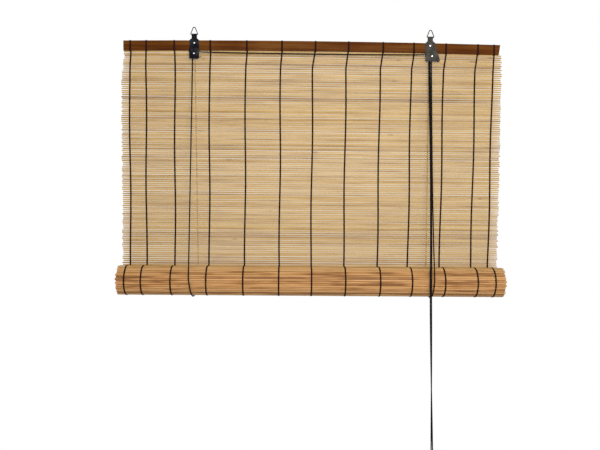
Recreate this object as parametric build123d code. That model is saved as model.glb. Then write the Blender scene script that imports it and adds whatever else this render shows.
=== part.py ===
from build123d import *
import math
import os

# A bamboo blind hung by two wire rings and held half rolled up by its lifting cords.
# Millimetres. X runs along the rail, Y points at the wall and Z is up.
# The origin is midway between the two rings, at the inside of their crowns.

# Reed mat: flat reeds side by side, the lower ones wound into a loose roll
blind_width = 1000.0
reed_pitch = 5.4
reed_gap = 0.6
reed_thick = 1.8
web_thick = 0.8
selvage = 26.0
hung_reeds = 111
roll_radius = 40.0
core_radius = 21.25
turn_pitch = 3.4

# Head rail and bottom slat
rail_end_inset = 6.0
rail_height = 26.0
rail_depth = 8.0
rail_round = 1.2
rail_end_slant = 3.0
rail_drop = 32.0
slat_end_inset = 2.0
slat_height = 26.0
slat_depth = 8.0
slat_round = 1.2
slat_clearance = 0.4

# Warp strings
string_width = 4.0
string_thick = 1.0
string_place_shares = (
    -0.4785, -0.436, -0.3605, -0.2695, -0.175, -0.083, 0.0015, 0.089, 0.179, 0.261, 0.3465, 0.4305, 0.4765,
)
string_wrap_share = 0.92
string_gap = 0.05
reeds_per_facet = 2

# Hanging rings
wire_radius = 1.1
ring_base = 19.6
ring_drop = 17.5
crown_radius = 3.3
corner_gap = 0.3
eye_clearance = 0.08

# Bracket plates, each in a bay between two neighbouring strings
left_bay_index = 2
left_bay_share = 0.56593
right_bay_index = 9
right_bay_share = 0.56140
plate_thick = 1.1
plate_width = 25.0
plate_round = 4.0
neck_width = 14.0
neck_length = 9.0
shoulder_drop = 5.0
lock_left = 12.0
lock_right = 12.8
lock_flare = 13.6
flare_start = 4.0
pilot_radius = 0.9
pilot_below_screw = 4.6

# Covers over the sheaves
cover_thick = 1.0
cover_corner = 3.5
cover_round = 1.2
left_cover_rise = 14.0
lock_cover_rise = 10.0
notch_clearance = 0.6

# Sheaves, axles, pins and screws
axle_below_rail = 9.0
axle_to_edge = 13.0
axle_radius = 1.25
axle_fit = 0.05
axle_head_radius = 2.2
axle_head_thick = 1.1
axle_tail_radius = 2.2
axle_tail_thick = 0.8
groove_radius = 2.3
flange_radius = 5.2
flange_thick = 0.8
side_clearance = 0.3
lift_sheave_offset = 4.0
guide_pin_radius = 1.4
cam_pin_radius = 1.0
cam_below_axle = 8.5
cam_reach = 2.7
cam_hub_radius = 2.2
cam_tooth_shares = ((-40, 0.8), (-26, 1.0), (-13, 0.88), (0, 1.0), (13, 0.88), (26, 1.0), (40, 0.8))
anvil_inset = 1.0
screw_below_top = 7.0
screw_radius = 1.5
screw_depth = 6.0
screw_head_radius = 2.3
screw_head_thick = 1.6
head_round = 0.7

# Lifting cords
cord_radius = 1.5
cord_clearance = 0.3
joint_gap = 0.3
strand_gap = 0.2
bend_radius = 40.0
bend_below_plate = 2.0
left_back_offset = 10.0
right_back_offset = 2.0
anchor_above_edge = 8.0
anchor_bend_radius = 3.4
rail_bend_radius = 60.0
cord_hole_clearance = 0.7
knot_radius = 3.6
knot_below_rail = 10.0
left_tail_run = 26.0
left_tail_fall = 12.0
right_tail_run = 44.0
right_tail_fall = 22.0
tail_middle_shares = (0.5, 0.42)
tail_bend_radius = 20.0

# Pull cords, hanging in front of the roll and tied up in a hank
pull_hang = 480.0
pull_drift = 12.5
pull_bend_radius = 200.0
pull_bend_below = 12.0
hank_run = 50.0
hank_fold_radius = 9.0
hank_layers = 2
hank_turns = 9
hank_round = 6.0
tie_width = 10.0
tie_thick = 1.4
pull_knot_radius = 5.0

overrun = 1.0

# Places that follow from the sizes
cord_width = 2 * cord_radius
pivot_z = -ring_drop
eye_bore = wire_radius + eye_clearance
eye_radius = eye_bore + plate_thick
plate_front = eye_radius - plate_thick
rail_front = eye_radius
rail_back = rail_front + rail_depth
mat_y = rail_front + rail_depth / 2
mat_front = mat_y - reed_thick / 2
mat_back = mat_y + reed_thick / 2
rail_top = -rail_drop
rail_bottom = rail_top - rail_height
roll_z = rail_bottom - hung_reeds * reed_pitch
roll_mid_radius = roll_radius - reed_thick / 2
roll_y = mat_y - roll_mid_radius
string_places = [share * blind_width for share in string_place_shares]


def between(index, share):
    first, second = string_places[index:index + 2]
    return first + share * (second - first)


left_x = between(left_bay_index, left_bay_share)
right_x = between(right_bay_index, right_bay_share)
shoulder_top = pivot_z - neck_length
shoulder_low = shoulder_top - shoulder_drop
screw_z = rail_top - screw_below_top
axle_z = rail_bottom - axle_below_rail
plate_bottom = axle_z - axle_to_edge
sheave_width = cord_width + 2 * cord_clearance + 2 * flange_thick
cover_depth = sheave_width + 2 * side_clearance
cover_inside = plate_front - cover_depth
cover_front = cover_inside - cover_thick
cord_y = plate_front - cover_depth / 2
wrap_radius = groove_radius + cord_clearance + cord_radius
cross_z = axle_z + wrap_radius
lift_axle_x = right_x + lift_sheave_offset
strand_b_x = lift_axle_x - wrap_radius
strand_a_x = strand_b_x - cord_width - strand_gap
guide_wrap = guide_pin_radius + cord_clearance + cord_radius
guide_x = strand_a_x - guide_wrap
guide_z = cross_z - guide_wrap
cam_x = strand_a_x - cord_radius - cord_clearance - cam_reach
cam_z = axle_z - cam_below_axle
sling_radius = roll_radius + cord_clearance + cord_radius
bend_z = plate_bottom - bend_below_plate
bend_y = cord_y - bend_radius
bend_reach = math.hypot(roll_y - bend_y, bend_z - roll_z)
lean = math.asin((sling_radius + bend_radius) / bend_reach) - math.atan2(roll_y - bend_y, bend_z - roll_z)
hank_top = roll_z - pull_hang
hank_width = 2 * hank_fold_radius + (2 * hank_layers - 1) * cord_width
hank_height = hank_run + hank_width
hank_depth = hank_turns * cord_width
hank_x = (strand_a_x + strand_b_x) / 2 + pull_drift
hank_y = roll_y - sling_radius
hank_z = hank_top - hank_height / 2


def slab(sketch, y_near, y_far):
    """A flat sketch drawn in X and Z, thickened from one depth to the other."""
    return extrude(Plane.XZ.offset(-y_near) * sketch, amount=y_near - y_far)


def bar(sketch, x_low, x_high):
    """A section drawn in Y and Z, drawn out along X."""
    return extrude(Plane.YZ.offset(x_low) * sketch, amount=x_high - x_low)


def rod(radius, x, z, y_near, y_far):
    return slab(Pos(x, z) * Circle(radius), y_near, y_far)


def outline(points):
    return make_face(Polyline(*points, close=True))


def wire_along(path, radius):
    return sweep(Plane(origin=path @ 0, z_dir=path % 0) * Circle(radius), path=path)


def cord_along(path):
    return wire_along(path, cord_radius)


# Head rail, with its end sawn askew, screw holes and a hole for each cord's fixed end
def head_rail():
    half = blind_width / 2 - rail_end_inset
    side = outline(((-half, rail_top), (half, rail_top), (half - rail_end_slant, rail_bottom),
                    (-half, rail_bottom)))
    rail = slab(side, rail_front, rail_back)
    rail = fillet(rail.edges().filter_by(Axis.X), rail_round)
    for x in (left_x, right_x):
        rail -= rod(screw_radius + axle_fit, x, screw_z,
                    rail_front - overrun, rail_front + screw_depth + axle_fit)
        rail -= rod(cord_radius + cord_hole_clearance, x, rail_bottom + anchor_above_edge,
                    rail_front - overrun, rail_back + overrun)
    return rail


# Hung part of the mat: one ridged wall, open between the reeds except along its two edges
def hung_mat():
    front, back, slots = [], [], []
    slot_length = blind_width - 2 * selvage
    for reed in range(hung_reeds):
        top = rail_bottom - reed * reed_pitch - reed_gap / 2
        low = top - reed_pitch + reed_gap
        front += [(mat_front, top), (mat_front, low)]
        back += [(mat_back, top), (mat_back, low)]
        if reed < hung_reeds - 1:
            middle = low - reed_gap / 2
            front.append((mat_y - web_thick / 2, middle))
            back.append((mat_y + web_thick / 2, middle))
            slots.append(Pos(0, mat_y, middle) * Box(slot_length, reed_thick + overrun, reed_gap))
    wall = bar(outline(front + back[::-1]), -blind_width / 2, blind_width / 2)
    return wall - slots


# Each string passes over the rail and runs down both faces of the mat
def hung_string(x):
    low = roll_z + reed_gap / 2
    step = rail_bottom - reed_gap / 2
    inside = [(mat_front, low), (mat_front, step), (rail_front, rail_bottom), (rail_front, rail_top),
              (rail_back, rail_top), (rail_back, rail_bottom), (mat_back, step), (mat_back, low)]
    outside = [(mat_front - string_thick, low), (mat_front - string_thick, step - string_thick),
               (rail_front - string_thick, rail_bottom - string_thick / 2),
               (rail_front - string_thick, rail_top + string_thick),
               (rail_back + string_thick, rail_top + string_thick),
               (rail_back + string_thick, rail_bottom - string_thick / 2),
               (mat_back + string_thick, step - string_thick), (mat_back + string_thick, low)]
    return bar(outline(inside + outside[::-1]), x - string_width / 2, x + string_width / 2)


# The roll: the mat goes down behind, under, up in front and over, turn inside turn,
# until it is wound in as far as the core
def turn_radius(angle):
    return roll_mid_radius - turn_pitch * angle / (2 * math.pi)


def roll_point(angle, offset):
    reach = turn_radius(angle) + offset
    return roll_y + reach * math.cos(angle), roll_z - reach * math.sin(angle)


reed_edges = [0.0]
while turn_radius(reed_edges[-1]) > core_radius:
    reed_edges.append(reed_edges[-1] + reed_pitch / turn_radius(reed_edges[-1]))


def rolled_mat():
    outer, inner = [], []
    for start, end in zip(reed_edges, reed_edges[1:]):
        half_gap = reed_gap / 2 / turn_radius(start)
        outer += [roll_point(start + half_gap, reed_thick / 2), roll_point(end - half_gap, reed_thick / 2)]
        inner.append(roll_point(start + half_gap, -reed_thick / 2))
        if end != reed_edges[-1]:
            outer.append(roll_point(end, web_thick / 2))
    inner.append(roll_point(reed_edges[-1] - half_gap, -reed_thick / 2))
    return bar(outline(outer + inner[::-1]), -blind_width / 2, blind_width / 2)


def rolled_string(x):
    angles = [a for a in reed_edges[::reeds_per_facet] if a < 2 * math.pi * string_wrap_share]
    angles[0] = reed_gap / 2 / roll_mid_radius
    facet_rise = (reeds_per_facet * reed_pitch) ** 2 / (8 * turn_radius(angles[-1]))
    seat = reed_thick / 2 + facet_rise + string_gap
    inner = [roll_point(angle, seat) for angle in angles]
    outer = [roll_point(angle, seat + string_thick) for angle in angles]
    return bar(outline(outer + inner[::-1]), x - string_width / 2, x + string_width / 2)


def bottom_slat():
    last = reed_edges[-1]
    room = turn_radius(last) - reed_thick / 2 - slat_clearance
    reach = math.sqrt(room ** 2 - (slat_height / 2) ** 2)
    angle = last - math.atan2(slat_height / 2, reach)
    middle = reach - slat_depth / 2
    slat = Box(blind_width - 2 * slat_end_inset, slat_depth, slat_height)
    slat = fillet(slat.edges().filter_by(Axis.X), slat_round)
    place = Pos(0, roll_y + middle * math.cos(angle), roll_z - middle * math.sin(angle))
    return place * Rot(-math.degrees(angle), 0, 0) * slat


# Hanging ring: a wire triangle with a round crown, its base held in the bracket's eye
def ring(x):
    half = ring_base / 2
    rise = wire_radius - crown_radius - pivot_z
    slope = math.acos(crown_radius / math.hypot(half, rise)) - math.atan2(rise, half)
    apex = wire_radius - crown_radius + crown_radius / math.sin(slope)
    corner = (half - neck_width / 2 - corner_gap) * math.tan((math.pi / 2 - slope) / 2)
    path = FilletPolyline((x - half, 0, pivot_z), (x + half, 0, pivot_z), (x, 0, apex),
                          radius=[corner, corner, crown_radius], close=True)
    return wire_along(path, wire_radius)


# Bracket plate: rolled eye, neck, shoulders and a body that reaches below the rail
def bracket_plate(x, left, right, flare, holes):
    neck = neck_width / 2
    face = outline(((-neck, pivot_z), (neck, pivot_z), (neck, shoulder_top), (right, shoulder_low),
                    (right, shoulder_low - flare_start), (right + flare, plate_bottom), (-left, plate_bottom),
                    (-left, shoulder_low), (-neck, shoulder_top)))
    face = fillet(face.vertices().group_by(Axis.Y)[0], plate_round)
    plate = Pos(x, 0, 0) * slab(face, plate_front, eye_radius)
    curl = Pos(0, pivot_z) * (Circle(eye_radius) - Circle(eye_bore))
    curl -= Pos(eye_radius / 2, pivot_z - eye_radius / 2) * Rectangle(eye_radius, eye_radius)
    plate += bar(curl, x - neck, x + neck)
    for radius, hole_x, hole_z in holes:
        plate -= rod(radius, hole_x, hole_z, plate_front - overrun, eye_radius + overrun)
    return plate


# Cover: a shallow pressed box, open below and notched where the cross cord enters
def cover(x, left, right_top, right_low, top, axle_x, notch_x):
    face = outline(((-left, top), (right_top, top), (right_low, plate_bottom), (-left, plate_bottom)))
    face = Pos(x, 0) * fillet(face.vertices(), cover_corner)
    inside = offset(face, amount=-cover_thick)
    shell = slab(face, cover_front, plate_front)
    rim = shell.faces().sort_by(Axis.Y)[0].edges()
    shell = fillet(rim, cover_round)
    shell -= slab(inside, cover_inside, plate_front + overrun)
    mouth = inside.bounding_box()
    mouth_width = mouth.size.X - 2 * (cover_corner - cover_thick)
    shell -= Pos(mouth.center().X, (cover_inside + plate_front + overrun) / 2, plate_bottom) * Box(
        mouth_width, cover_depth + overrun, 2 * cover_corner)
    notch_height = cord_width + 2 * notch_clearance
    shell -= Pos(notch_x, (cover_inside + plate_front + overrun) / 2, cross_z) * Box(
        2 * cover_corner, cover_depth + overrun, notch_height)
    return shell - rod(axle_radius + axle_fit, axle_x, axle_z, cover_front - overrun, plate_front)


def sheave(x):
    half = sheave_width / 2
    floor = half - flange_thick
    bore = axle_radius + axle_fit
    profile = outline(((bore, -half), (flange_radius, -half), (flange_radius, -floor),
                       (groove_radius, -floor), (groove_radius, floor), (flange_radius, floor),
                       (flange_radius, half), (bore, half)))
    return Pos(x, cord_y, axle_z) * Rot(-90, 0, 0) * revolve(Plane.XZ * profile, Axis.Z)


def axle_rivet(x):
    head = rod(axle_head_radius, x, axle_z, cover_front - axle_head_thick, cover_front)
    head = fillet(head.faces().sort_by(Axis.Y)[0].edges(), head_round)
    shank = rod(axle_radius, x, axle_z, cover_front, eye_radius)
    tail = rod(axle_tail_radius, x, axle_z, eye_radius, eye_radius + axle_tail_thick)
    return head + shank + tail


def bracket_screw(x):
    head = rod(screw_head_radius, x, screw_z, plate_front - screw_head_thick, plate_front)
    head = fillet(head.faces().sort_by(Axis.Y)[0].edges(), head_round)
    return head + rod(screw_radius, x, screw_z, plate_front, rail_front + screw_depth)


# Cord lock: two pins on the plate, a toothed cam, and a tab that the cam presses the cords against
def lock_plate():
    holes = [(screw_radius + axle_fit, right_x, screw_z),
             (pilot_radius, right_x, screw_z - pilot_below_screw),
             (axle_radius + axle_fit, lift_axle_x, axle_z),
             (guide_pin_radius + axle_fit, guide_x, guide_z),
             (cam_pin_radius + axle_fit, cam_x, cam_z)]
    plate = bracket_plate(right_x, lock_left, lock_right, lock_flare, holes)
    tab_left = strand_b_x + cord_radius + cord_clearance
    tab_top = axle_z - flange_radius - cord_clearance
    tab_low = plate_bottom + anvil_inset
    tab = Pos(tab_left + plate_thick / 2, (tab_top + tab_low) / 2) * Rectangle(plate_thick, tab_top - tab_low)
    return plate + slab(tab, cover_inside + side_clearance, plate_front)


def lock_cam():
    turns = [(math.radians(turn), share * cam_reach) for turn, share in cam_tooth_shares]
    teeth = [(reach * math.cos(turn), reach * math.sin(turn)) for turn, reach in turns]
    face = Circle(cam_hub_radius) + outline([(0, 0)] + teeth) - Circle(cam_pin_radius + axle_fit)
    return slab(Pos(cam_x, cam_z) * face, cover_inside + side_clearance, plate_front - side_clearance)


# Cord runs: round the sheave, down out of the bracket, and leaning out to the front of the roll
def sling_point(x, angle):
    """A point of the sling's circle: 0 is at the front of the roll, and the angle rises above it."""
    return Vector(x, roll_y - sling_radius * math.cos(angle), roll_z + sling_radius * math.sin(angle))


def leaning_run(x, top):
    def bend(angle):
        return Vector(x, bend_y + bend_radius * math.cos(angle), bend_z - bend_radius * math.sin(angle))

    ahead = Vector(0, -math.sin(lean), -math.cos(lean))
    return [Line((x, cord_y, top), bend(0)), ThreePointArc(bend(0), bend(lean / 2), bend(lean)),
            Line(bend(lean), sling_point(x, lean) - ahead * joint_gap)]


def quarter_turn(x, z, radius, side):
    slant = radius / math.sqrt(2)
    return ThreePointArc((x, cord_y, z + radius), (x + side * slant, cord_y, z + slant),
                         (x + side * radius, cord_y, z))


def left_front_cord():
    over = quarter_turn(left_x, axle_z, wrap_radius, -1)
    return cord_along(Wire([over, *leaning_run(left_x - wrap_radius, axle_z)]))


def right_front_cord():
    over = ThreePointArc((strand_b_x, cord_y, axle_z), (lift_axle_x, cord_y, cross_z),
                         (lift_axle_x + wrap_radius, cord_y, axle_z))
    return cord_along(Wire([over, *leaning_run(lift_axle_x + wrap_radius, axle_z)]))


# A back run is fixed in the rail, knotted to itself below it, and leaves a loose tail
def back_cord(x, low_x, tail_run, tail_fall):
    behind = rail_back + cord_clearance + cord_radius
    anchor_z = rail_bottom + anchor_above_edge
    low = Vector(low_x, roll_y + sling_radius, roll_z + joint_gap)
    edge = Vector(x, behind, rail_bottom)
    run = FilletPolyline((x, rail_front + joint_gap, anchor_z), (x, behind, anchor_z), edge, low,
                         radius=[anchor_bend_radius, rail_bend_radius])
    knot = edge + (low - edge) * (knot_below_rail / (edge.Z - low.Z))
    tail_y = mat_back + string_thick + cord_clearance + cord_radius
    across, down = tail_middle_shares
    tail = FilletPolyline(knot, (knot.X + across * tail_run, tail_y, knot.Z - down * tail_fall),
                          (knot.X + tail_run, tail_y, knot.Z - tail_fall), radius=tail_bend_radius)
    return cord_along(run) + Pos(knot) * Sphere(knot_radius) + cord_along(tail)


def sling(front_x, back_x):
    middle = Vector((front_x + back_x) / 2, roll_y, roll_z)
    across = Vector((back_x - front_x) / 2, sling_radius, 0)
    down = Vector(0, 0, -across.length)
    front = middle - across * math.cos(lean) - down * math.sin(lean)
    return cord_along(ThreePointArc(middle + across, middle + down, front))


def pull_upper_a():
    over = quarter_turn(guide_x, guide_z, guide_wrap, 1)
    return cord_along(Wire([over, *leaning_run(strand_a_x, guide_z)]))


def pull_lower(x):
    over = ThreePointArc(sling_point(x, lean), sling_point(x, lean / 2), sling_point(x, 0))
    hang = FilletPolyline(sling_point(x, 0), (x, hank_y, roll_z - pull_bend_below),
                          (x + pull_drift, hank_y, hank_top + joint_gap), radius=pull_bend_radius)
    return cord_along(Wire([over, *hang.edges()]))


def pull_hank():
    return Pos(hank_x, hank_y, hank_z) * fillet(
        Box(hank_width, hank_depth, hank_height).edges(), hank_round)


def hank_tie():
    hole = RectangleRounded(hank_width, hank_depth, hank_round)
    band = RectangleRounded(hank_width + 2 * tie_thick, hank_depth + 2 * tie_thick,
                            hank_round + tie_thick) - hole
    return Pos(hank_x, hank_y, hank_z - tie_width / 2) * extrude(band, amount=tie_width)


lock_top = axle_z + lock_cover_rise
flare_top = shoulder_low - flare_start
lock_slope = lock_flare / (flare_top - plate_bottom)
plate_half = plate_width / 2
left_holes = [(screw_radius + axle_fit, left_x, screw_z), (axle_radius + axle_fit, left_x, axle_z)]

pieces = {
    "head_rail": head_rail(),
    "hung_mat": hung_mat(),
    "hung_strings": Compound([hung_string(x) for x in string_places]),
    "rolled_mat": rolled_mat(),
    "rolled_strings": Compound([rolled_string(x) for x in string_places]),
    "bottom_slat": bottom_slat(),
    "left_ring": ring(left_x),
    "right_ring": ring(right_x),
    "left_bracket": bracket_plate(left_x, plate_half, plate_half, 0, left_holes),
    "left_cover": cover(left_x, plate_half, plate_half, plate_half, axle_z + left_cover_rise, left_x,
                        left_x + plate_half),
    "left_sheave": sheave(left_x),
    "lock_plate": lock_plate(),
    "lock_cover": cover(right_x, lock_left, lock_right + lock_slope * (flare_top - lock_top),
                        lock_right + lock_flare, lock_top, lift_axle_x, right_x - lock_left),
    "lift_sheave": sheave(lift_axle_x),
    "lock_cam": lock_cam(),
    "guide_pin": rod(guide_pin_radius, guide_x, guide_z, cover_inside + side_clearance, eye_radius),
    "cam_pin": rod(cam_pin_radius, cam_x, cam_z, cover_inside + side_clearance, eye_radius),
    "axle_rivets": Compound([axle_rivet(x) for x in (left_x, lift_axle_x)]),
    "bracket_screws": Compound([bracket_screw(x) for x in (left_x, right_x)]),
    "left_front_cord": left_front_cord(),
    "right_front_cord": right_front_cord(),
    "left_back_cord": back_cord(left_x, left_x + left_back_offset, left_tail_run, left_tail_fall),
    "right_back_cord": back_cord(right_x, right_x + right_back_offset, right_tail_run, right_tail_fall),
    "cross_cord": cord_along(Line((left_x, cord_y, cross_z), (guide_x, cord_y, cross_z))),
    "left_sling": sling(left_x - wrap_radius, left_x + left_back_offset),
    "right_sling": sling(lift_axle_x + wrap_radius, right_x + right_back_offset),
    "pull_upper_a": pull_upper_a(),
    "pull_upper_b": cord_along(Wire(leaning_run(strand_b_x, axle_z))),
    "pull_lower_a": pull_lower(strand_a_x),
    "pull_lower_b": pull_lower(strand_b_x),
    "pull_hank": pull_hank(),
    "hank_tie": hank_tie(),
    "pull_knot": Pos(hank_x, hank_y, hank_top - hank_height - pull_knot_radius) * Sphere(pull_knot_radius),
}

os.makedirs("parts", exist_ok=True)
for name, shape in pieces.items():
    export_step(shape, os.path.join("parts", name + ".step"))

print("drop of the mat", round((hung_reeds + len(reed_edges) - 1) * reed_pitch))
print("roll axis", round(roll_y, 2), round(roll_z, 2))
print("cord bend radii", wrap_radius, guide_wrap, bend_radius, sling_radius, anchor_bend_radius)
print("brackets", round(left_x, 2), round(right_x, 2), "cords", round(strand_a_x, 2), round(strand_b_x, 2))
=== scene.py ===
import bpy
import math
import random
import numpy as np
from mathutils import Matrix, Vector


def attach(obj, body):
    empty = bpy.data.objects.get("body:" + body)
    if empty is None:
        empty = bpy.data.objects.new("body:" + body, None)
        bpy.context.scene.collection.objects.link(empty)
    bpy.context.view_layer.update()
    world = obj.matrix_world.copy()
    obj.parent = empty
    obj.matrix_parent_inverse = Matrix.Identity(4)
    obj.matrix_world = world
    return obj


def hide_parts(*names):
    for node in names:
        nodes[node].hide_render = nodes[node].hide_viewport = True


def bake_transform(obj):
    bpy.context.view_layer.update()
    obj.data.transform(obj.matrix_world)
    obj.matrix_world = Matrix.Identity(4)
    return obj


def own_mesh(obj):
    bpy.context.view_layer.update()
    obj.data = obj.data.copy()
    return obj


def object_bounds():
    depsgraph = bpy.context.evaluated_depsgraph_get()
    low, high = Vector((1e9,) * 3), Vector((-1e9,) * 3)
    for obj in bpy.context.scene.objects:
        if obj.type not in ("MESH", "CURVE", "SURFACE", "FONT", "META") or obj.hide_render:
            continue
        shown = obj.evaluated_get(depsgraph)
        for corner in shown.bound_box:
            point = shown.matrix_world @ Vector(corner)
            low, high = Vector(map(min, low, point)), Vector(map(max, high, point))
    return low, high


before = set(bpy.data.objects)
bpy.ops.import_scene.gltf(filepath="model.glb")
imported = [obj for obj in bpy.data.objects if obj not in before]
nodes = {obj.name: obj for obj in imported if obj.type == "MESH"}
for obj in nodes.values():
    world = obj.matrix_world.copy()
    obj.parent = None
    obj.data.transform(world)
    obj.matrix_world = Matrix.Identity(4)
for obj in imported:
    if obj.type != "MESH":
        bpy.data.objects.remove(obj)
cadBox = [list(corner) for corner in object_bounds()]
dice = random.Random(11)
print("frame loaded with", len(nodes), "nodes")


# camera, world and lamps
shot = {"place": (-0.054, -1.725, -0.414), "turnRight": 0.845, "lookDown": 3.279, "tilt": 0.524,
        "lens": 39.01, "sensor": 36.0}
studio = {"white": (1, 1, 1, 1), "skyColor": (1.0, 0.985, 0.96, 1), "skyLight": 0.45, "aim": (0, 0, -0.35),
          "keyPower": 18.6, "keyPlace": (0.16, -1.6, -0.04), "keySize": 1.0,
          "fillPower": 7.0, "fillPlace": (1.7, -1.9, -0.3), "fillSize": 1.4,
          "backPower": 16.0, "backPlace": (-0.4, 1.9, -0.2), "backSize": 1.4,
          "floorColor": (0.9, 0.9, 0.9, 1), "floorSize": 14, "floorDrop": 1.1}


def setCamera():
    data = bpy.data.cameras.new("camera")
    data.sensor_width = shot["sensor"]
    data.lens = shot["lens"]
    camera = bpy.data.objects.new("camera", data)
    bpy.context.scene.collection.objects.link(camera)
    camera.matrix_world = (Matrix.Translation(shot["place"])
                           @ Matrix.Rotation(-math.radians(shot["turnRight"]), 4, "Z")
                           @ Matrix.Rotation(math.radians(90 - shot["lookDown"]), 4, "X")
                           @ Matrix.Rotation(math.radians(shot["tilt"]), 4, "Z"))
    bpy.context.scene.camera = camera


def addNode(tree, kind, inputs=None, **settings):
    made = tree.nodes.new(kind)
    for name, value in settings.items():
        setattr(made, name, value)
    for name, value in (inputs or {}).items():
        made.inputs[name].default_value = value
    return made


def feed(tree, socket, value):  # a value is a plain number or colour, or what another node gives out
    if isinstance(value, bpy.types.NodeSocket):
        tree.links.new(value, socket)
    else:
        socket.default_value = value


def addMath(tree, operation, *values, clamp=False):
    made = addNode(tree, "ShaderNodeMath", operation=operation, use_clamp=clamp)
    for socket, value in zip(made.inputs, values):
        feed(tree, socket, value)
    return made.outputs[0]


def whiteForTheEye(tree, lit, white):  # white to the camera, to reflections and through clear glass
    path = addNode(tree, "ShaderNodeLightPath")
    seen = addMath(tree, "ADD", path.outputs["Is Camera Ray"], path.outputs["Is Glossy Ray"])
    seen = addMath(tree, "ADD", seen, path.outputs["Is Transmission Ray"], clamp=True)
    mix = addNode(tree, "ShaderNodeMixShader")
    for socket, value in zip(mix.inputs, (seen, lit.outputs[0], white.outputs[0])):
        tree.links.new(value, socket)
    return mix.outputs[0]


def setWorld():
    world = bpy.data.worlds.new("studio")
    bpy.context.scene.world = world
    world.use_nodes = True
    tree = world.node_tree
    tree.nodes.clear()
    sky = addNode(tree, "ShaderNodeBackground", {"Color": studio["skyColor"], "Strength": studio["skyLight"]})
    white = addNode(tree, "ShaderNodeBackground", {"Color": studio["white"], "Strength": 1.0})
    out = addNode(tree, "ShaderNodeOutputWorld")
    tree.links.new(whiteForTheEye(tree, sky, white), out.inputs[0])


def addLamp(name):
    data = bpy.data.lights.new(name + "Lamp", "AREA")
    data.energy = studio[name + "Power"]
    data.size = studio[name + "Size"]
    lamp = bpy.data.objects.new(name + "Lamp", data)
    bpy.context.scene.collection.objects.link(lamp)
    lamp.location = studio[name + "Place"]
    towards = Vector(studio["aim"]) - Vector(studio[name + "Place"])
    lamp.rotation_euler = towards.to_track_quat("-Z", "Y").to_euler()


def addFloor():
    bpy.ops.object.select_all(action="DESELECT")
    level = cadBox[0][2] - studio["floorDrop"]
    bpy.ops.mesh.primitive_plane_add(size=studio["floorSize"], location=(0, 0, level))
    floor = bpy.context.object
    floor.name = "floor"
    paint = bpy.data.materials.new("paleFloor")
    paint.use_nodes = True
    tree = paint.node_tree
    shader = tree.nodes["Principled BSDF"]
    shader.inputs["Base Color"].default_value = studio["floorColor"]
    glow = addNode(tree, "ShaderNodeEmission", {"Color": studio["white"], "Strength": 1.0})
    tree.links.new(whiteForTheEye(tree, shader, glow), tree.nodes["Material Output"].inputs[0])
    floor.data.materials.append(paint)


setCamera()
setWorld()
for name in ("key", "fill", "back"):
    addLamp(name)
addFloor()
bpy.context.scene.view_settings.view_transform = "Standard"
print("camera, world and lamps are set")


# places shared by the pieces, in metres, as in the part's source apart from the rail's bow
blind = {"railBottom": -0.058, "railTop": -0.032, "railFront": 0.00228, "railBack": 0.01028,
         "railHalf": 0.494, "bowRise": 0.0020, "bowDepth": 0.0042, "bowReeds": 16, "matY": 0.00628,
         "reedPitch": 0.0054, "reedHigh": 0.0048, "reedThick": 0.0018,
         "hungReeds": 111, "windReeds": 91, "rolledReeds": 185, "woundFlat": 0.0004,
         "rollY": -0.03282, "rollZ": -0.6574, "rollMid": 0.0391, "turnPitch": 0.0034}
stringX = [-0.4785, -0.436, -0.3605, -0.2695, -0.175, -0.083, 0.0015, 0.089, 0.179, 0.261, 0.3465, 0.4305,
           0.4765]
fixedCount = blind["hungReeds"] - blind["windReeds"]  # reeds left under the rail at full lift


def bowAt(x):  # the rail stands a little higher in the middle than at its ends
    return blind["bowRise"] - blind["bowDepth"] * (x / blind["railHalf"]) ** 2


def bowShare(i):  # the reeds next to the rail follow its bow
    return max(0.0, 1 - i / blind["bowReeds"])


def reedHeight(i):
    return blind["railBottom"] - (i + 0.5) * blind["reedPitch"]


def turnRadius(angle):  # the wound mat spirals inwards
    return blind["rollMid"] - blind["turnPitch"] * angle / (2 * math.pi)


# helpers for the materials
black = (0, 0, 0)


def gray(value):
    return (value, value, value)


def newMaterial(name, color, roughness, metallic=0.0, shine=0.5):
    made = bpy.data.materials.new(name)
    made.use_nodes = True
    shader = made.node_tree.nodes["Principled BSDF"]
    shader.inputs["Base Color"].default_value = (*color, 1)
    shader.inputs["Roughness"].default_value = roughness
    shader.inputs["Metallic"].default_value = metallic
    shader.inputs["Specular IOR Level"].default_value = shine
    return made, made.node_tree, shader


def mixColors(tree, factor, first, second, blend="MIX"):
    mix = addNode(tree, "ShaderNodeMix", data_type="RGBA", blend_type=blend)
    for socket, value in ((mix.inputs[0], factor), (mix.inputs[6], first), (mix.inputs[7], second)):
        feed(tree, socket, value)
    return mix.outputs[2]


def addRamp(tree, source, places, colors):
    ramp = addNode(tree, "ShaderNodeValToRGB")
    while len(ramp.color_ramp.elements) < len(places):
        ramp.color_ramp.elements.new(0.5)
    for element, place, color in zip(ramp.color_ramp.elements, places, colors):
        element.position = place
        element.color = (*color, 1)
    tree.links.new(source, ramp.inputs[0])
    return ramp.outputs[0]


def addBump(tree, shader, height, strength, distance):
    bump = addNode(tree, "ShaderNodeBump", {"Strength": strength, "Distance": distance})
    tree.links.new(height, bump.inputs["Height"])
    tree.links.new(bump.outputs[0], shader.inputs["Normal"])


def addNoise(tree, vector, scale=1.0, detail=2.0, roughness=0.5):
    noise = addNode(tree, "ShaderNodeTexNoise", {"Scale": scale, "Detail": detail, "Roughness": roughness})
    tree.links.new(vector, noise.inputs["Vector"])
    return noise.outputs["Fac"]


def objectPlace(tree):
    return addNode(tree, "ShaderNodeTexCoord").outputs["Object"]


def carried(tree, label):  # a number that the mesh carries
    return addNode(tree, "ShaderNodeAttribute", attribute_name=label).outputs["Fac"]


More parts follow.
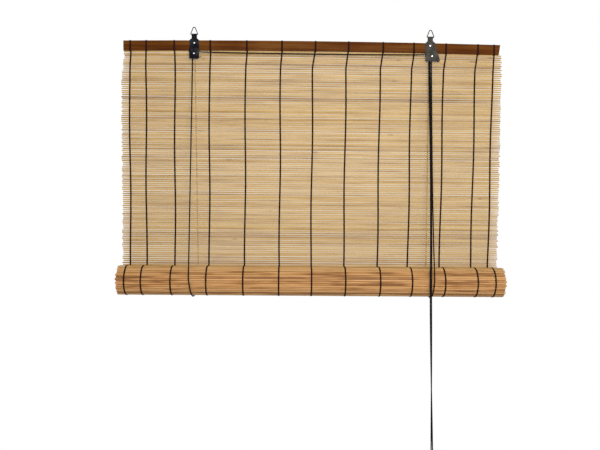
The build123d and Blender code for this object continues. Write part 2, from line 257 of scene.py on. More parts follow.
def stretched(tree, scale, seed=None):  # drawn out along the reeds, and shifted by each reed's own number
    mapping = addNode(tree, "ShaderNodeMapping", {"Scale": scale})
    tree.links.new(objectPlace(tree), mapping.inputs["Vector"])
    if seed:
        number = carried(tree, seed)
        joined = addNode(tree, "ShaderNodeCombineXYZ")
        tree.links.new(number, joined.inputs[0])
        tree.links.new(number, joined.inputs[1])
        tree.links.new(joined.outputs[0], mapping.inputs["Location"])
    return mapping.outputs[0]


# split bamboo: each reed has its own tone, fine fibres run along it, a few darker joints cross it, and
# painted shade darkens it along its long edges, where the gaps between the reeds lie
reedPaint = {"dark": (0.30, 0.175, 0.060), "brown": (0.47, 0.300, 0.115), "tan": (0.64, 0.440, 0.180),
             "straw": (0.76, 0.57, 0.27), "toneStops": (0.22, 0.45, 0.66, 0.95),
             "roughness": 0.55, "shine": 0.3,
             "fibreScale": (7, 900, 900), "fibreDetail": 5.0, "fibreRough": 0.6, "fibreShare": 0.42,
             "patchScale": (9, 25, 25), "patchShare": 0.60, "patchMiddle": 0.5, "rollStreak": 2.0,
             "joint": (0.26, 0.140, 0.050), "jointScale": (24, 0, 0), "jointDetail": 1.0,
             "jointStops": (0.72, 0.80), "jointDepth": 0.55,
             "edge": (0.72, 0.63, 0.52), "edgeStops": (0.55, 0.98), "roll": (0.95, 0.71, 0.62),
             "bump": 0.35, "bumpHigh": 0.0004}


def bambooReeds():
    made, tree, shader = newMaterial("splitBamboo", reedPaint["tan"], reedPaint["roughness"],
                                     shine=reedPaint["shine"])
    fibres = addNoise(tree, stretched(tree, reedPaint["fibreScale"], "reedSeed"),
                      detail=reedPaint["fibreDetail"], roughness=reedPaint["fibreRough"])
    patches = addNoise(tree, stretched(tree, reedPaint["patchScale"], "reedSeed"))
    warm = carried(tree, "reedRolled")
    tone = addMath(tree, "MULTIPLY_ADD", fibres, reedPaint["fibreShare"], carried(tree, "reedTone"))
    tone = addMath(tree, "MULTIPLY_ADD", patches, reedPaint["patchShare"], tone)
    streak = addMath(tree, "MULTIPLY", addMath(tree, "SUBTRACT", patches, reedPaint["patchMiddle"]), warm)
    tone = addMath(tree, "MULTIPLY_ADD", streak, reedPaint["rollStreak"], tone)  # wound reeds show more
    shades = [reedPaint[name] for name in ("dark", "brown", "tan", "straw")]
    color = addRamp(tree, tone, reedPaint["toneStops"], shades)
    joints = addNoise(tree, stretched(tree, reedPaint["jointScale"], "reedSeed"),
                      detail=reedPaint["jointDetail"])
    mask = addRamp(tree, joints, reedPaint["jointStops"], (black, gray(reedPaint["jointDepth"])))
    color = mixColors(tree, mask, color, (*reedPaint["joint"], 1))
    # painted shade: each reed turns darker and warmer towards its long edges, standing in for the shadow in
    # the gaps between reeds
    gapShadeMask = addRamp(tree, carried(tree, "reedAcross"), reedPaint["edgeStops"], (black, gray(1)))
    color = mixColors(tree, gapShadeMask, color, mixColors(tree, 1.0, color, (*reedPaint["edge"], 1), "MULTIPLY"))
    tinted = mixColors(tree, 1.0, color, (*reedPaint["roll"], 1), "MULTIPLY")
    tree.links.new(mixColors(tree, warm, color, tinted), shader.inputs["Base Color"])
    addBump(tree, shader, fibres, reedPaint["bump"], reedPaint["bumpHigh"])
    return made


# stained bamboo of the rail and the slat in the roll
stainPaint = {"dark": (0.036, 0.007, 0.001), "brown": (0.105, 0.029, 0.003), "warm": (0.175, 0.066, 0.012),
              "stops": (0.30, 0.47, 0.62), "roughness": 0.5, "shine": 0.04,
              "fibreScale": (3, 260, 260), "fibreDetail": 6.0, "fibreRough": 0.65, "cloudScale": (6, 30, 45),
              "bump": 0.3, "bumpHigh": 0.0005}


def stainedBamboo():
    made, tree, shader = newMaterial("stainedBamboo", stainPaint["brown"], stainPaint["roughness"],
                                     shine=stainPaint["shine"])
    fibres = addNoise(tree, stretched(tree, stainPaint["fibreScale"]),
                      detail=stainPaint["fibreDetail"], roughness=stainPaint["fibreRough"])
    clouds = addNoise(tree, stretched(tree, stainPaint["cloudScale"]))
    half = addMath(tree, "MULTIPLY", addMath(tree, "ADD", fibres, clouds), 0.5)
    base = addRamp(tree, half, stainPaint["stops"], [stainPaint[name] for name in ("dark", "brown", "warm")])
    tree.links.new(base, shader.inputs["Base Color"])
    addBump(tree, shader, fibres, stainPaint["bump"], stainPaint["bumpHigh"])
    return made


# dark brown thread of the warp strings, and the lifting cords: both twisted, with a UV map for the twist
threadPaint = {"string": (0.018, 0.006, 0.004), "stringLight": (0.040, 0.016, 0.010),
               "cord": (0.006, 0.005, 0.005), "cordLight": (0.020, 0.014, 0.012),
               "roughness": 0.9, "shine": 0.08, "twistScale": (420.0, 2.0, 1.0), "strandScale": 0.32,
               "strandBend": 0.6, "strandDetail": 1.0, "fluffScale": 900.0, "bump": 0.6, "bumpHigh": 0.0006}


def twistedThread(name, dark, light):
    made, tree, shader = newMaterial(name, dark, threadPaint["roughness"], shine=threadPaint["shine"])
    place = addNode(tree, "ShaderNodeUVMap", uv_map="twist")
    mapping = addNode(tree, "ShaderNodeMapping", {"Scale": threadPaint["twistScale"]})
    tree.links.new(place.outputs[0], mapping.inputs["Vector"])
    wave = {"Scale": threadPaint["strandScale"], "Distortion": threadPaint["strandBend"],
            "Detail": threadPaint["strandDetail"]}
    strands = addNode(tree, "ShaderNodeTexWave", wave, bands_direction="DIAGONAL")
    tree.links.new(mapping.outputs[0], strands.inputs["Vector"])
    fluff = addNoise(tree, objectPlace(tree), threadPaint["fluffScale"])
    raised = addMath(tree, "MULTIPLY", strands.outputs["Fac"], fluff)
    tree.links.new(mixColors(tree, raised, (*dark, 1), (*light, 1)), shader.inputs["Base Color"])
    addBump(tree, shader, strands.outputs["Fac"], threadPaint["bump"], threadPaint["bumpHigh"])
    return made


# gunmetal of the left bracket and rings, paler metal of the lock, bright steel of its cam and all pins,
# rivets and screws, and dark plastic of the sheaves
metalPaint = {"speckScale": 420.0, "speckDetail": 4.0, "speckRough": 0.6, "cloudScale": 70.0,
              "wearStops": (0.40, 0.68), "wearDepth": 0.8, "smoother": 0.08, "rougher": 0.12,
              "bump": 0.08, "bumpHigh": 0.0003}
metals = {
    "ringWire": {"color": (0.002, 0.002, 0.004), "worn": (0.030, 0.032, 0.038),
                 "roughness": 0.6, "metallic": 0.0, "shine": 0.06},
    "gunmetal": {"color": (0.002, 0.002, 0.004), "worn": (0.030, 0.032, 0.038),
                 "roughness": 0.42, "metallic": 0.0, "shine": 0.05},
    "lockMetal": {"color": (0.040, 0.036, 0.031), "worn": (0.088, 0.081, 0.074),
                  "roughness": 0.42, "metallic": 0.0, "shine": 0.05},
    "brightSteel": {"color": (0.62, 0.62, 0.60), "roughness": 0.22, "metallic": 1.0, "shine": 0.5},
    "darkPlastic": {"color": (0.03, 0.03, 0.03), "roughness": 0.5, "metallic": 0.0, "shine": 0.4},
}


def wornMetal(name):
    metal = metals[name]
    roughness = metal["roughness"]
    made, tree, shader = newMaterial(name, metal["color"], roughness, metal["metallic"], metal["shine"])
    place = objectPlace(tree)
    specks = addNoise(tree, place, metalPaint["speckScale"], metalPaint["speckDetail"],
                      metalPaint["speckRough"])
    if "worn" in metal:  # steel and plastic keep one colour
        clouds = addNoise(tree, place, metalPaint["cloudScale"])
        wear = addRamp(tree, clouds, metalPaint["wearStops"], (black, gray(metalPaint["wearDepth"])))
        color = mixColors(tree, wear, (*metal["color"], 1), (*metal["worn"], 1))
        tree.links.new(color, shader.inputs["Base Color"])
    rough = addNode(tree, "ShaderNodeMapRange", {"To Min": roughness - metalPaint["smoother"],
                                                 "To Max": roughness + metalPaint["rougher"]})
    tree.links.new(specks, rough.inputs["Value"])
    tree.links.new(rough.outputs[0], shader.inputs["Roughness"])
    addBump(tree, shader, specks, metalPaint["bump"], metalPaint["bumpHigh"])
    return made


reedFinish = bambooReeds()
stainFinish = stainedBamboo()
stringFinish = twistedThread("brownString", threadPaint["string"], threadPaint["stringLight"])
cordFinish = twistedThread("darkCord", threadPaint["cord"], threadPaint["cordLight"])
metalFinish = {name: wornMetal(name) for name in metals}
print("materials are made")


# lifting cords: each route is a smooth line led by its control points, and a tube is laid along it
cords = {"radius": 0.0016, "sides": 10, "smooth": 10, "knotPoints": 24, "y": -0.00172}


def readRoute(points):
    data = bpy.data.curves.new("route", "CURVE")
    data.dimensions = "3D"
    data.resolution_u = cords["smooth"]
    line = data.splines.new("NURBS")
    line.points.add(len(points) - 1)
    for knob, place in zip(line.points, points):
        knob.co = (*place, 1)
    line.order_u = 3
    line.use_endpoint_u = True
    holder = bpy.data.objects.new("route", data)
    bpy.context.scene.collection.objects.link(holder)
    bpy.context.view_layer.update()
    mesh = bpy.data.meshes.new_from_object(holder)
    path = [v.co.copy() for v in mesh.vertices]
    bpy.data.objects.remove(holder)
    bpy.data.meshes.remove(mesh)
    bpy.data.curves.remove(data)
    return path


def skinRings(name, corners, runs, sides):  # rings of corners become a closed tube with a twist map
    faces, spots = [], []
    for i in range(len(runs) - 1):
        for k in range(sides):
            a, b = i * sides + k, i * sides + (k + 1) % sides
            faces.append((a, b, b + sides, a + sides))
            spots += [(runs[i], k / sides), (runs[i], (k + 1) / sides),
                      (runs[i + 1], (k + 1) / sides), (runs[i + 1], k / sides)]
    last = len(corners) - sides
    faces += [tuple(range(sides))[::-1], tuple(range(last, last + sides))]
    spots += [(0.0, 0.0)] * (2 * sides)
    mesh = bpy.data.meshes.new(name)
    mesh.from_pydata(corners, [], faces)
    mesh.uv_layers.new(name="twist").data.foreach_set("uv", np.array(spots, np.float32).ravel())
    mesh.shade_smooth()
    piece = bpy.data.objects.new(name, mesh)
    bpy.context.scene.collection.objects.link(piece)
    return piece


def makeCord(name, points, radius=cords["radius"]):
    path = readRoute(points)
    corners, runs, run = [], [], 0.0
    side = (path[1] - path[0]).normalized().orthogonal().normalized()
    for i, here in enumerate(path):
        ahead = (path[min(i + 1, len(path) - 1)] - path[max(i - 1, 0)]).normalized()
        side = (side - ahead * side.dot(ahead)).normalized()
        over = ahead.cross(side)
        run += (here - path[i - 1]).length if i else 0.0
        runs.append(run)
        for k in range(cords["sides"]):
            turn = 2 * math.pi * k / cords["sides"]
            corners.append(here + (side * math.cos(turn) + over * math.sin(turn)) * radius)
    piece = skinRings(name, corners, runs, cords["sides"])
    piece.data.materials.append(cordFinish)
    return piece, path


# short stretches over the sheaves, which stay where they are: places are (x, z)
sheaveCords = {
    "leftSheaveCord": {"node": "left_front_cord", "route": [
        (-0.309, -0.0629), (-0.3131, -0.0629), (-0.3131, -0.069), (-0.3131, -0.076), (-0.3131, -0.084)]},
    "rightSheaveCord": {"node": "right_front_cord", "route": [
        (0.3089, -0.073), (0.3089, -0.067), (0.3089, -0.0629), (0.313, -0.0622), (0.3171, -0.0629),
        (0.3171, -0.067), (0.3155, -0.074), (0.3128, -0.079), (0.3124, -0.084)]},
    "pullGuideA": {"node": "pull_upper_a", "route": [
        (0.3025, -0.0629), (0.3057, -0.0629), (0.3057, -0.068), (0.3057, -0.076), (0.3057, -0.084)]},
    "pullGuideB": {"node": "pull_upper_b", "route": [(0.3089, -0.0725), (0.3089, -0.078), (0.3089, -0.084)]},
}
for name, cord in sheaveCords.items():
    piece, _ = makeCord(name, [(x, cords["y"], z) for x, z in cord["route"]])
    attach(piece, "headrail")
    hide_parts(cord["node"])


# front runs: a long stretch down from its sheave, carried by the rail, and a short one that stays by the roll
frontRuns = {"stay": -0.084, "kneeY": -0.068, "kneeZ": -0.603, "kneeKeep": 0.104, "rollKeep": 0.464,
             "endY": -0.07428, "endZ": -0.6521,
             "upper": [(-0.0022, -0.0885), (-0.0055, -0.115), (-0.0363, -0.355), (-0.0644, -0.575)],
             "lower": [(-0.0703, -0.621), (-0.0725, -0.638)]}
frontX = {
    "leftLift": {"node": "left_front_cord", "top": -0.3131, "mid": -0.3131, "knee": -0.3131, "end": -0.3131},
    "rightLift": {"node": "right_front_cord", "top": 0.3124, "mid": 0.3124, "knee": 0.3163, "end": 0.3171},
    "pullA": {"node": "pull_upper_a", "top": 0.3057, "mid": 0.3083, "knee": 0.3066, "end": 0.3057},
    "pullB": {"node": "pull_upper_b", "top": 0.3089, "mid": 0.3109, "knee": 0.3096, "end": 0.3089},
}


def frontRun(name, x):
    top = (x["top"], cords["y"], frontRuns["stay"])
    knee = (x["knee"], frontRuns["kneeY"], frontRuns["kneeZ"])
    end = (x["end"], frontRuns["endY"], frontRuns["endZ"])
    nearKnee = (x["mid"] + 2 * x["knee"]) / 3
    upperX = (x["top"], x["top"], x["mid"], nearKnee)
    upperRoute = [(across, *place) for across, place in zip(upperX, frontRuns["upper"])]
    upper, _ = makeCord(name + "Upper", [top, *upperRoute, knee])
    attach(upper, "headrail")
    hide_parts(x["node"])
    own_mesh(upper)
    lowerX = ((x["knee"] + x["end"]) / 2, x["end"])
    lowerRoute = [(across, *place) for across, place in zip(lowerX, frontRuns["lower"])]
    lower, _ = makeCord(name + "Lower", [knee, *lowerRoute, end])
    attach(lower, "lift_slings")
    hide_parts(x["node"])
    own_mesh(lower)


for name, x in frontX.items():
    frontRun(name, x)

# the cross cord sags a little between the brackets
crossRoute = [(-0.309, -0.0629), (-0.29, -0.0629), (-0.15, -0.0642), (0.0, -0.0647), (0.15, -0.0642),
              (0.285, -0.0629), (0.3025, -0.0629)]
crossCord, _ = makeCord("crossCord", [(x, cords["y"], z) for x, z in crossRoute])
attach(crossCord, "headrail")
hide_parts("cross_cord")

# back runs hang behind the mat from a knot under the rail, and pass into the slings under the roll
backRuns = {"stay": -0.084, "keep": 0.1427, "knotSize": 0.00105, "knotRadius": 0.0011}
backRoutes = {
    "left": {"node": "left_back_cord", "knot": (-0.3088, 0.0120, -0.068),
             "anchor": [(-0.309, 0.0026, -0.05), (-0.309, 0.0095, -0.05), (-0.309, 0.0121, -0.0505),
                        (-0.309, 0.0121, -0.058), (-0.3088, 0.0120, -0.068), (-0.3086, 0.0120, -0.084)],
             "run": [(-0.3086, 0.0120, -0.084), (-0.3081, 0.0118, -0.11), (-0.2996, 0.0092, -0.62),
                     (-0.299, 0.009, -0.657)],
             "tail": [(-0.3078, 0.0118, -0.069), (-0.302, 0.0108, -0.0705), (-0.294, 0.0104, -0.0735),
                      (-0.2835, 0.0101, -0.0795)]},
    "right": {"node": "right_back_cord", "knot": (0.309, 0.0120, -0.068),
              "anchor": [(0.309, 0.0026, -0.05), (0.309, 0.0095, -0.05), (0.309, 0.0121, -0.0505),
                         (0.309, 0.0121, -0.058), (0.309, 0.0120, -0.068), (0.3091, 0.0120, -0.084)],
              "run": [(0.3091, 0.0120, -0.084), (0.3092, 0.0118, -0.11), (0.3109, 0.0092, -0.62),
                      (0.311, 0.009, -0.657)],
              "tail": [(0.310, 0.0118, -0.069), (0.318, 0.0110, -0.0715), (0.331, 0.0105, -0.0765),
                       (0.3525, 0.0101, -0.0895)]},
}


def trefoil(middle, size):  # a loose overhand knot
    places = []
    for k in range(cords["knotPoints"] + 1):
        t = 2 * math.pi * k / cords["knotPoints"]
        loop = Vector((math.sin(t) + 2 * math.sin(2 * t), -math.sin(3 * t),
                       math.cos(t) - 2 * math.cos(2 * t)))
        places.append(Vector(middle) + loop * size)
    return places


for side, route in backRoutes.items():
    for part in ("anchor", "run", "tail"):
        piece, _ = makeCord(side + "Back" + part.capitalize(), route[part])
        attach(piece, "headrail")
        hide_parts(route["node"])
        if part == "run":
            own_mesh(piece)
    loops = trefoil(route["knot"], backRuns["knotSize"])
    knot, _ = makeCord(side + "BackKnot", loops, backRuns["knotRadius"])
    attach(knot, "headrail")
    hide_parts(route["node"])

# slings go from the back run under the roll to the front run: places in the shape are (y, z)
slingShape = [(0.009, -0.6571), (0.0088, -0.6655), (0.0027, -0.6805), (-0.0085, -0.6921),
              (-0.0233, -0.6987), (-0.0395, -0.6993), (-0.0547, -0.6938), (-0.0667, -0.6829),
              (-0.0738, -0.6684), (-0.075, -0.6574), (-0.07428, -0.6521)]
slings = {"leftSling": {"node": "left_sling", "backX": -0.299, "frontX": -0.3131},
          "rightSling": {"node": "right_sling", "backX": 0.311, "frontX": 0.3171}}
for name, sling in slings.items():
    places = []
    for k, (y, z) in enumerate(slingShape):
        share = k / (len(slingShape) - 1)
        places.append((sling["backX"] + (sling["frontX"] - sling["backX"]) * share, y, z))
    piece, _ = makeCord(name, places)
    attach(piece, "lift_slings")
    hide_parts(sling["node"])
print("lifting cords are laid")


# pull cords hang in front of the roll, and their spare length is folded into a tied hank below the picture
hank = {"x": 0.3198, "y": -0.07462, "topFold": -1.1509, "lowFold": -1.2009, "straight": 0.017, "foldSteps": 4,
        "layer": 0.0032, "middleLayer": 3.5, "inner": 0.0090, "outer": 0.0122,
        "entry": (-0.0095, 0.0098, -1.136), "footIn": 0.002, "strandApart": 0.0017,
        "exit": [(-0.006, -1.2094), (-0.0017, -1.2125), (-0.0012, -1.2172)],
        "knot": (0.3198, -0.07462, -1.2194), "knotSize": 0.00125, "knotRadius": 0.0013}
tie = {"radius": 0.0007, "turns": 6, "steps": 16, "z": -1.1759, "rise": 0.0016,
       "halfWide": 0.0150, "halfDeep": 0.0141, "square": 0.55}
pullCords = {"pullLowerA": {"node": "pull_lower_a", "x": 0.3057, "layers": (0, 1, 2, 3), "lean": -1},
             "pullLowerB": {"node": "pull_lower_b", "x": 0.3089, "layers": (7, 6, 5, 4), "lean": 1}}
hangShape = [(0.0, -0.07428, -0.6521), (0.0, -0.0748, -0.6560), (0.0, -0.0748, -0.6640),
             (0.0002, -0.0747, -0.6760), (0.0008, -0.07462, -0.6960)]  # x past the start, y, z
crossings = [(0.0024, 0.0, 0.0, -0.76), (0.0051, 0.0006, 0.0007, -0.86), (0.0075, 0.0015, 0.0017, -0.95),
             (0.0094, 0.0026, 0.0008, -1.02), (0.0111, 0.0034, 0.0, -1.085), (0.0118, 0.0034, 0.001, -1.104),
             (0.0085, 0.003, 0.0055, -1.121)]  # x past the start, aside and off by the strand's lean, z


def foldedLoops(layers):  # loops over and under, two in each layer, ending on the way down
    plan = []
    for n, layer in enumerate(layers):
        y = hank["y"] + (layer - hank["middleLayer"]) * hank["layer"]
        radii = [hank["outer"], hank["inner"]]
        plan += [(y, radius) for radius in (radii if n % 2 == 0 else radii[::-1])]
    x, top, low, straight, steps = (hank[key] for key in ("x", "topFold", "lowFold", "straight", "foldSteps"))
    places = []
    for n, (y, radius) in enumerate(plan):
        places += [(x - radius, y, top), (x - radius, y, top - straight), (x - radius, y, low + straight)]
        if n == len(plan) - 1:
            break
        nextY, nextRadius = plan[n + 1]
        for k in range(steps + 1):
            turn = math.pi + math.pi * k / steps
            places.append((x + radius * math.cos(turn), y, low + radius * math.sin(turn)))
        places += [(x + radius, y, low + straight), (x + radius, y, top - straight)]
        for k in range(steps + 1):
            turn = math.pi * k / steps
            wide = radius + (nextRadius - radius) * k / steps
            places.append((x + wide * math.cos(turn), y + (nextY - y) * k / steps,
                           top + wide * math.sin(turn)))
    return places


def pullRoute(cord):
    x, lean = cord["x"], cord["lean"]
    route = [(x + along, y, z) for along, y, z in hangShape]
    for along, aside, off, z in crossings:  # the two strands cross once on the way down
        route.append((x + along - lean * aside, hank["y"] + lean * off, z))
    entryX, entryY, entryZ = hank["entry"]
    route.append((hank["x"] + entryX, hank["y"] + lean * entryY, entryZ))
    route += foldedLoops(cord["layers"])
    footX, footY, _ = route[-1]
    route.append((footX + hank["footIn"], footY, hank["lowFold"]))
    for along, z in hank["exit"]:
        route.append((hank["x"] + along, hank["y"] + lean * hank["strandApart"], z))
    return route


def squared(value):  # draws a circle out towards a square
    return math.copysign(abs(value) ** tie["square"], value)


pullKnot, _ = makeCord("pullKnot", trefoil(hank["knot"], hank["knotSize"]), hank["knotRadius"])
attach(pullKnot, "pull_end")
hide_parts("pull_knot")
tieRoute = []
for k in range(tie["steps"] * tie["turns"] + 1):
    turn = 2 * math.pi * k / tie["steps"]
    tieRoute.append((hank["x"] + squared(math.cos(turn)) * tie["halfWide"],
                     hank["y"] + squared(math.sin(turn)) * tie["halfDeep"],
                     tie["z"] + tie["rise"] * (k / tie["steps"] - tie["turns"] / 2)))
hankTie, _ = makeCord("hankTie", tieRoute, tie["radius"])
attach(hankTie, "pull_end")
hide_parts("hank_tie")
for name, cord in pullCords.items():
    piece, path = makeCord(name, pullRoute(cord))
    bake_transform(piece)
    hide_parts(cord["node"], "pull_hank")


# reeds: one is modelled, then copied for every place on the mat and round the roll
reeds = {"edgeRound": 0.0006, "segments": 1, "cuts": 6, "endCuts": (0.3, 0.45), "lastCut": 0.474,
         "smoothAngle": 40, "freeEnd": 0.49, "endThin": (0.58, 0.9), "thickVary": (0.88, 1.0),
         "highVary": (0.95, 1.06), "shift": 0.00014, "waves": (0.6, 1.6), "sway": 0.00015,
         "rollSway": 0.0007, "calmReeds": 4,
         "raggedIn": 0.0025, "raggedOut": 0.0015, "rightReach": 0.0015, "rollReach": 0.002,
         "topTuck": 0.008, "topTuckReeds": 13, "lowTuck": 0.006, "lowTuckReeds": 6,
         "rightTuck": 0.003, "rightTuckReeds": 24, "rollNarrow": 0.90, "seeds": 90,
         "toneLow": -0.05, "toneHigh": 0.26, "toneUsual": 0.12, "darkDrop": 0.16, "darkShare": 0.06,
         "rollTone": -0.10, "rollContrast": 3.0, "blushLow": 0.35}


def alongX(a, b):  # reeds and rail are about a metre long
    return abs(a.x - b.x) > 0.5


def pickLongEdges(piece):
    bpy.ops.object.mode_set(mode="OBJECT")
    bpy.context.tool_settings.mesh_select_mode = (False, True, False)
    mesh = piece.data
    for v in mesh.vertices:
        v.select = False
    for f in mesh.polygons:
        f.select = False
    for e in mesh.edges:
        a, b = (mesh.vertices[i].co for i in e.vertices)
        e.select = alongX(a, b)
    bpy.ops.object.mode_set(mode="EDIT")


def modelSlat(size, edgeRound, segments, cuts, smoothAngle):  # a bar along X with eased edges, cut across
    bpy.ops.object.select_all(action="DESELECT")
    bpy.ops.mesh.primitive_cube_add(size=1)
    slat = bpy.context.object
    slat.scale = size
    bpy.ops.object.transform_apply(scale=True)
    pickLongEdges(slat)
    bpy.ops.mesh.bevel(offset=edgeRound, segments=segments, affect="EDGES")
    pickLongEdges(slat)
    bpy.ops.mesh.subdivide(number_cuts=cuts)
    bpy.ops.object.mode_set(mode="OBJECT")
    bpy.ops.object.shade_smooth_by_angle(angle=math.radians(smoothAngle))
    return slat


def modelReed():
    size = (1.0, blind["reedThick"], blind["reedHigh"])
    reed = modelSlat(size, reeds["edgeRound"], reeds["segments"], reeds["cuts"], reeds["smoothAngle"])
    low, high = reeds["endCuts"]
    for v in reed.data.vertices:  # the outermost cuts go to the last strings
        if low < abs(v.co.x) < high:
            v.co.x = math.copysign(reeds["lastCut"], v.co.x)
    return reed


def ragged():
    return dice.uniform(-reeds["raggedIn"], reeds["raggedOut"])


def copyReed(pattern, name, tone, sway, height=0.0, tuck=0.0, rightTuck=0.0, bow=0.0,
             angle=None, radius=0.0, blush=0.0):  # hung at a height, or wound at an angle and radius
    mesh = pattern.data.copy()
    co = np.zeros(len(mesh.vertices) * 3)
    mesh.vertices.foreach_get("co", co)
    co = co.reshape(-1, 3)
    rolled = angle is not None
    left = ragged() - tuck
    right = ragged() + reeds["rightReach"] + rolled * reeds["rollReach"] - rightTuck
    x = np.where(co[:, 0] < 0, co[:, 0] * (1 + 2 * left), co[:, 0] * (1 + 2 * right))
    wave = sway * np.sin(2 * math.pi * (x * dice.uniform(*reeds["waves"]) + dice.random()))
    y = co[:, 1] * dice.uniform(*reeds["thickVary"])
    atEnd = np.abs(co[:, 0]) > reeds["freeEnd"]
    endThin = np.where(atEnd, dice.uniform(*reeds["endThin"]), 1)  # free ends are worn thinner
    z = co[:, 2] * dice.uniform(*reeds["highVary"]) * (reeds["rollNarrow"] if rolled else endThin)
    z = z + wave + dice.uniform(-reeds["shift"], reeds["shift"]) + bow * bowAt(x)
    if rolled:
        c, s = math.cos(angle), math.sin(angle)
        y, z = blind["rollY"] + (radius + y) * c + z * s, blind["rollZ"] - (radius + y) * s + z * c
    else:
        y, z = blind["matY"] + y, height + z
    mesh.vertices.foreach_set("co", np.stack([x, y, z], 1).ravel())
    # how far across its reed each point lies, which places the painted shade along the reed's long edges
    across = np.abs(co[:, 2]) / (blind["reedHigh"] / 2)
    seed = dice.uniform(0, reeds["seeds"])
    labels = {"reedTone": tone, "reedSeed": seed, "reedAcross": across, "reedRolled": blush}
    for label, value in labels.items():
        values = np.full(len(co), value, np.float32)
        mesh.attributes.new(label, "FLOAT", "POINT").data.foreach_set("value", values)
    piece = bpy.data.objects.new(name, mesh)
    bpy.context.scene.collection.objects.link(piece)
    return piece


def joinPieces(parts, name, finish):
    bpy.ops.object.select_all(action="DESELECT")
    for part in parts:
        part.select_set(True)
    bpy.context.view_layer.objects.active = parts[0]
    bpy.ops.object.join()
    whole = bpy.context.view_layer.objects.active
    whole.name = name
    whole.data.name = name
    whole.data.materials.clear()
    whole.data.materials.append(finish)
    return whole


def reedTone():
    tone = dice.triangular(reeds["toneLow"], reeds["toneHigh"], reeds["toneUsual"])
    darker = dice.random() < reeds["darkShare"]  # now and then
    return tone - reeds["darkDrop"] if darker else tone


def fading(kind, i):  # a tuck that is gone after its number of reeds
    return reeds[kind] * max(0.0, 1 - i / reeds[kind + "Reeds"])


pattern = modelReed()
hungReeds = []
for i in range(blind["hungReeds"]):
    tuck = fading("topTuck", i) + fading("lowTuck", blind["hungReeds"] - 1 - i)
    hungReeds.append(copyReed(pattern, "reed" + str(i), reedTone(), reeds["sway"], reedHeight(i), tuck,
                              fading("rightTuck", i), bowShare(i)))
upperMat = joinPieces(hungReeds[:fixedCount], "upperMat", reedFinish)
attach(upperMat, "headrail")
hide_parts("hung_mat")
windingMat = joinPieces(hungReeds[fixedCount:], "windingMat", reedFinish)
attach(windingMat, "lift_slings")
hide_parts("hung_mat")
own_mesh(windingMat)
turnEdges = [0.0]  # angles where one wound reed ends and the next begins
woundReeds = []
for i in range(blind["rolledReeds"]):
    step = blind["reedPitch"] / turnRadius(turnEdges[-1])
    middle = turnEdges[-1] + step / 2
    facing = max(0.0, -math.cos(middle))
    blush = reeds["blushLow"] + (1 - reeds["blushLow"]) * facing  # ruddiest where the roll faces forward
    tone = reedTone() * reeds["rollContrast"] + reeds["rollTone"]
    sway = reeds["rollSway"] * min(1.0, i / reeds["calmReeds"])  # the first reeds follow the hung mat
    woundReeds.append(copyReed(pattern, "turn" + str(i), tone, sway, angle=middle, radius=turnRadius(middle),
                               blush=blush))
    turnEdges.append(turnEdges[-1] + step)
rollMat = joinPieces(woundReeds, "rollMat", reedFinish)
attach(rollMat, "mat_roll")
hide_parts("rolled_mat")
bpy.data.objects.remove(pattern)
print("reeds are placed:", blind["hungReeds"], "hung and", blind["rolledReeds"], "rolled")


# strings: two strands cross between the reeds, so that one of them is always in front
strings = {"halfWide": 0.0020, "halfThick": 0.0005, "wander": 0.0011, "wanderDown": 17, "wanderAcross": 60,
           "railShift": [0.0025, 0.0015, -0.001, 0.002, 0.0032, 0.0032, 0.0065, 0.006, 0.007, 0.0059,
                         0.005, 0.005, 0.0017],
           "shiftReeds": 8, "turnReeds": 45, "blob": 1.35, "blobs": (1, 2, 9, 10),
           "section": ((-1, 0), (-0.6, 1), (0.6, 1), (1, 0), (0.6, -1), (-0.6, -1)),
           "crossShare": 0.75, "flatShare": 0.55, "past": 0.0001,
           "turnShape": ((0.09, 0.6), (0.3, 1), (0.7, 1), (0.91, 0.6)),
           "railIn": 0.0016, "cornerIn": 0.0006, "cornerUp": 0.0012, "cornerShare": 0.6}
strandOut = blind["reedThick"] / 2 + strings["halfThick"]


def ribbon(name, places, swell=()):  # a strand along (x, y, z) that stays flat to the mat, stouter at swell
    corners, runs, run = [], [], 0.0
    for i, (x, y, z) in enumerate(places):
        before, after = places[max(i - 1, 0)], places[min(i + 1, len(places) - 1)]
        dy, dz = after[1] - before[1], after[2] - before[2]
        size = math.hypot(dy, dz) or 1.0
        ny, nz = dz / size, -dy / size
        run += math.dist(places[i - 1], places[i]) if i else 0.0
        runs.append(run)
        stout = strings["blob"] if i in swell else 1
        wide, thick = strings["halfWide"] * stout, strings["halfThick"] * stout
        for a, b in strings["section"]:
            corners.append((x + a * wide, y + ny * b * thick, z + nz * b * thick))
    piece = skinRings(name, corners, runs, len(strings["section"]))
    piece.data.flip_normals()  # the section runs clockwise, so its faces are turned outwards
    return piece


def strandOver(first, count, start, x, shift):  # one strand past hung reeds, in front of every second
    half = blind["reedHigh"] / 2
    flat, past = half * strings["flatShare"], half + strings["past"]
    places = []
    for i in range(first, first + count):
        z = reedHeight(i) + bowAt(x) * bowShare(i)
        y = blind["matY"] + (-strandOut if (i + start) % 2 == 0 else strandOut)
        crossY = y * strings["crossShare"] + blind["matY"] * (1 - strings["crossShare"])
        wander = strings["wander"] * math.sin(z * strings["wanderDown"] + x * strings["wanderAcross"])
        here = x + shift * max(0.0, 1 - (i + 0.5) / strings["shiftReeds"]) + wander
        places += [(here, crossY, z + past), (here, y, z + flat),
                   (here, y, z - flat), (here, crossY, z - past)]
    return places


def strandRound(count, start, x):  # one strand past the roll's outer reeds
    places = []
    for i in range(count):
        side = strandOut if (i + start) % 2 == 0 else -strandOut
        for share, near in strings["turnShape"]:
            angle = turnEdges[i] + (turnEdges[i + 1] - turnEdges[i]) * share
            reach = turnRadius(angle) + near * side
            places.append((x, blind["rollY"] + reach * math.cos(angle),
                           blind["rollZ"] - reach * math.sin(angle)))
    return places


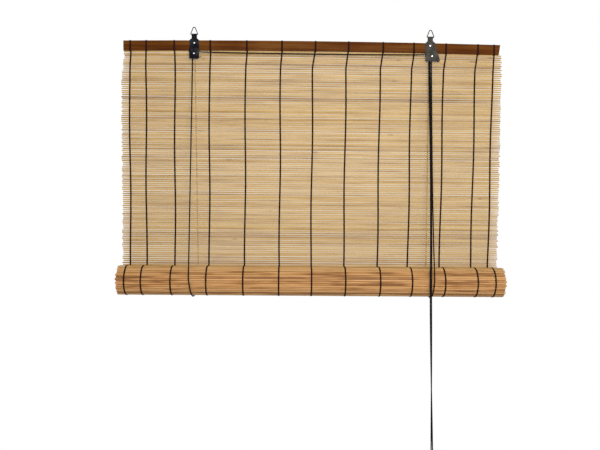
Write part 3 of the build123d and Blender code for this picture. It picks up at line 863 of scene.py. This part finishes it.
def overRail(x):  # up the rail's front, over its top and down its back
    t = strings["halfThick"]
    low, top = blind["railBottom"] + bowAt(x), blind["railTop"] + bowAt(x)
    near, far, mid = blind["railFront"] - t, blind["railBack"] + t, blind["matY"]
    railIn, cornerIn, cornerUp = strings["railIn"], strings["cornerIn"], strings["cornerUp"]
    corner = top + t * strings["cornerShare"]
    up = [(mid - railIn, low - railIn), (near + cornerIn, low - cornerIn), (near, low + cornerUp),
          (near, top - cornerUp), (near + cornerIn, corner), (near + railIn, top + t)]
    down = [(far - railIn, top + t), (far - cornerIn, corner), (far, top - cornerUp),
            (far, low + cornerUp), (far - cornerIn, low - cornerIn), (mid + railIn, low - railIn)]
    return [(x, y, z) for y, z in up + down]


fixedStrands, windingStrands, rollStrands = [], [], []
for x, shift in zip(stringX, strings["railShift"]):
    fixedStrands.append(ribbon("railBand", overRail(x + shift), strings["blobs"]))
    for start in (0, 1):
        fixedStrands.append(ribbon("fixedStrand", strandOver(0, fixedCount, start, x, shift)))
        winding = strandOver(fixedCount, blind["windReeds"], start, x, 0)
        windingStrands.append(ribbon("windingStrand", winding))
        rollStrands.append(ribbon("rollStrand", strandRound(strings["turnReeds"], start, x)))
fixedStrings = joinPieces(fixedStrands, "upperStrings", stringFinish)
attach(fixedStrings, "headrail")
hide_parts("hung_strings")
windingStrings = joinPieces(windingStrands, "windingStrings", stringFinish)
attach(windingStrings, "lift_slings")
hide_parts("hung_strings")
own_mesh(windingStrings)
rollStrings = joinPieces(rollStrands, "rollStrings", stringFinish)
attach(rollStrings, "mat_roll")
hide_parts("rolled_strings")
print("strings are woven in")


# head rail: a slat sawn a little askew at one end, and bowed
rail = {"cuts": 23, "edgeRound": 0.0012, "segments": 3, "smoothAngle": 35, "slant": 0.003, "endNear": 0.0001}


def modelRail():
    height = blind["railTop"] - blind["railBottom"]
    size = (2 * blind["railHalf"], blind["railBack"] - blind["railFront"], height)
    piece = modelSlat(size, rail["edgeRound"], rail["segments"], rail["cuts"], rail["smoothAngle"])
    piece.name = "bowedRail"
    for v in piece.data.vertices:
        low = 0.5 - v.co.z / height
        if v.co.x > blind["railHalf"] - rail["endNear"]:
            v.co.x -= rail["slant"] * low
        v.co.z += (blind["railTop"] + blind["railBottom"]) / 2 + bowAt(v.co.x)
        v.co.y += blind["matY"]
    piece.data.materials.append(stainFinish)
    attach(piece, "headrail")
    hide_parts("head_rail")


modelRail()
print("rail is modelled")


# finishes of the rigid pieces
metalPieces = {"gunmetal": ("left_bracket", "left_cover"), "lockMetal": ("lock_plate", "lock_cover"),
               "ringWire": ("left_ring", "right_ring"), "darkPlastic": ("left_sheave", "lift_sheave"),
               "brightSteel": ("axle_rivets", "bracket_screws", "guide_pin", "cam_pin", "lock_cam")}
finishes = {node: metalFinish[metal] for metal, names in metalPieces.items() for node in names}
finishes["bottom_slat"] = stainFinish
for node, finish in finishes.items():
    nodes[node].data.materials.clear()
    nodes[node].data.materials.append(finish)
print("rigid pieces are finished")
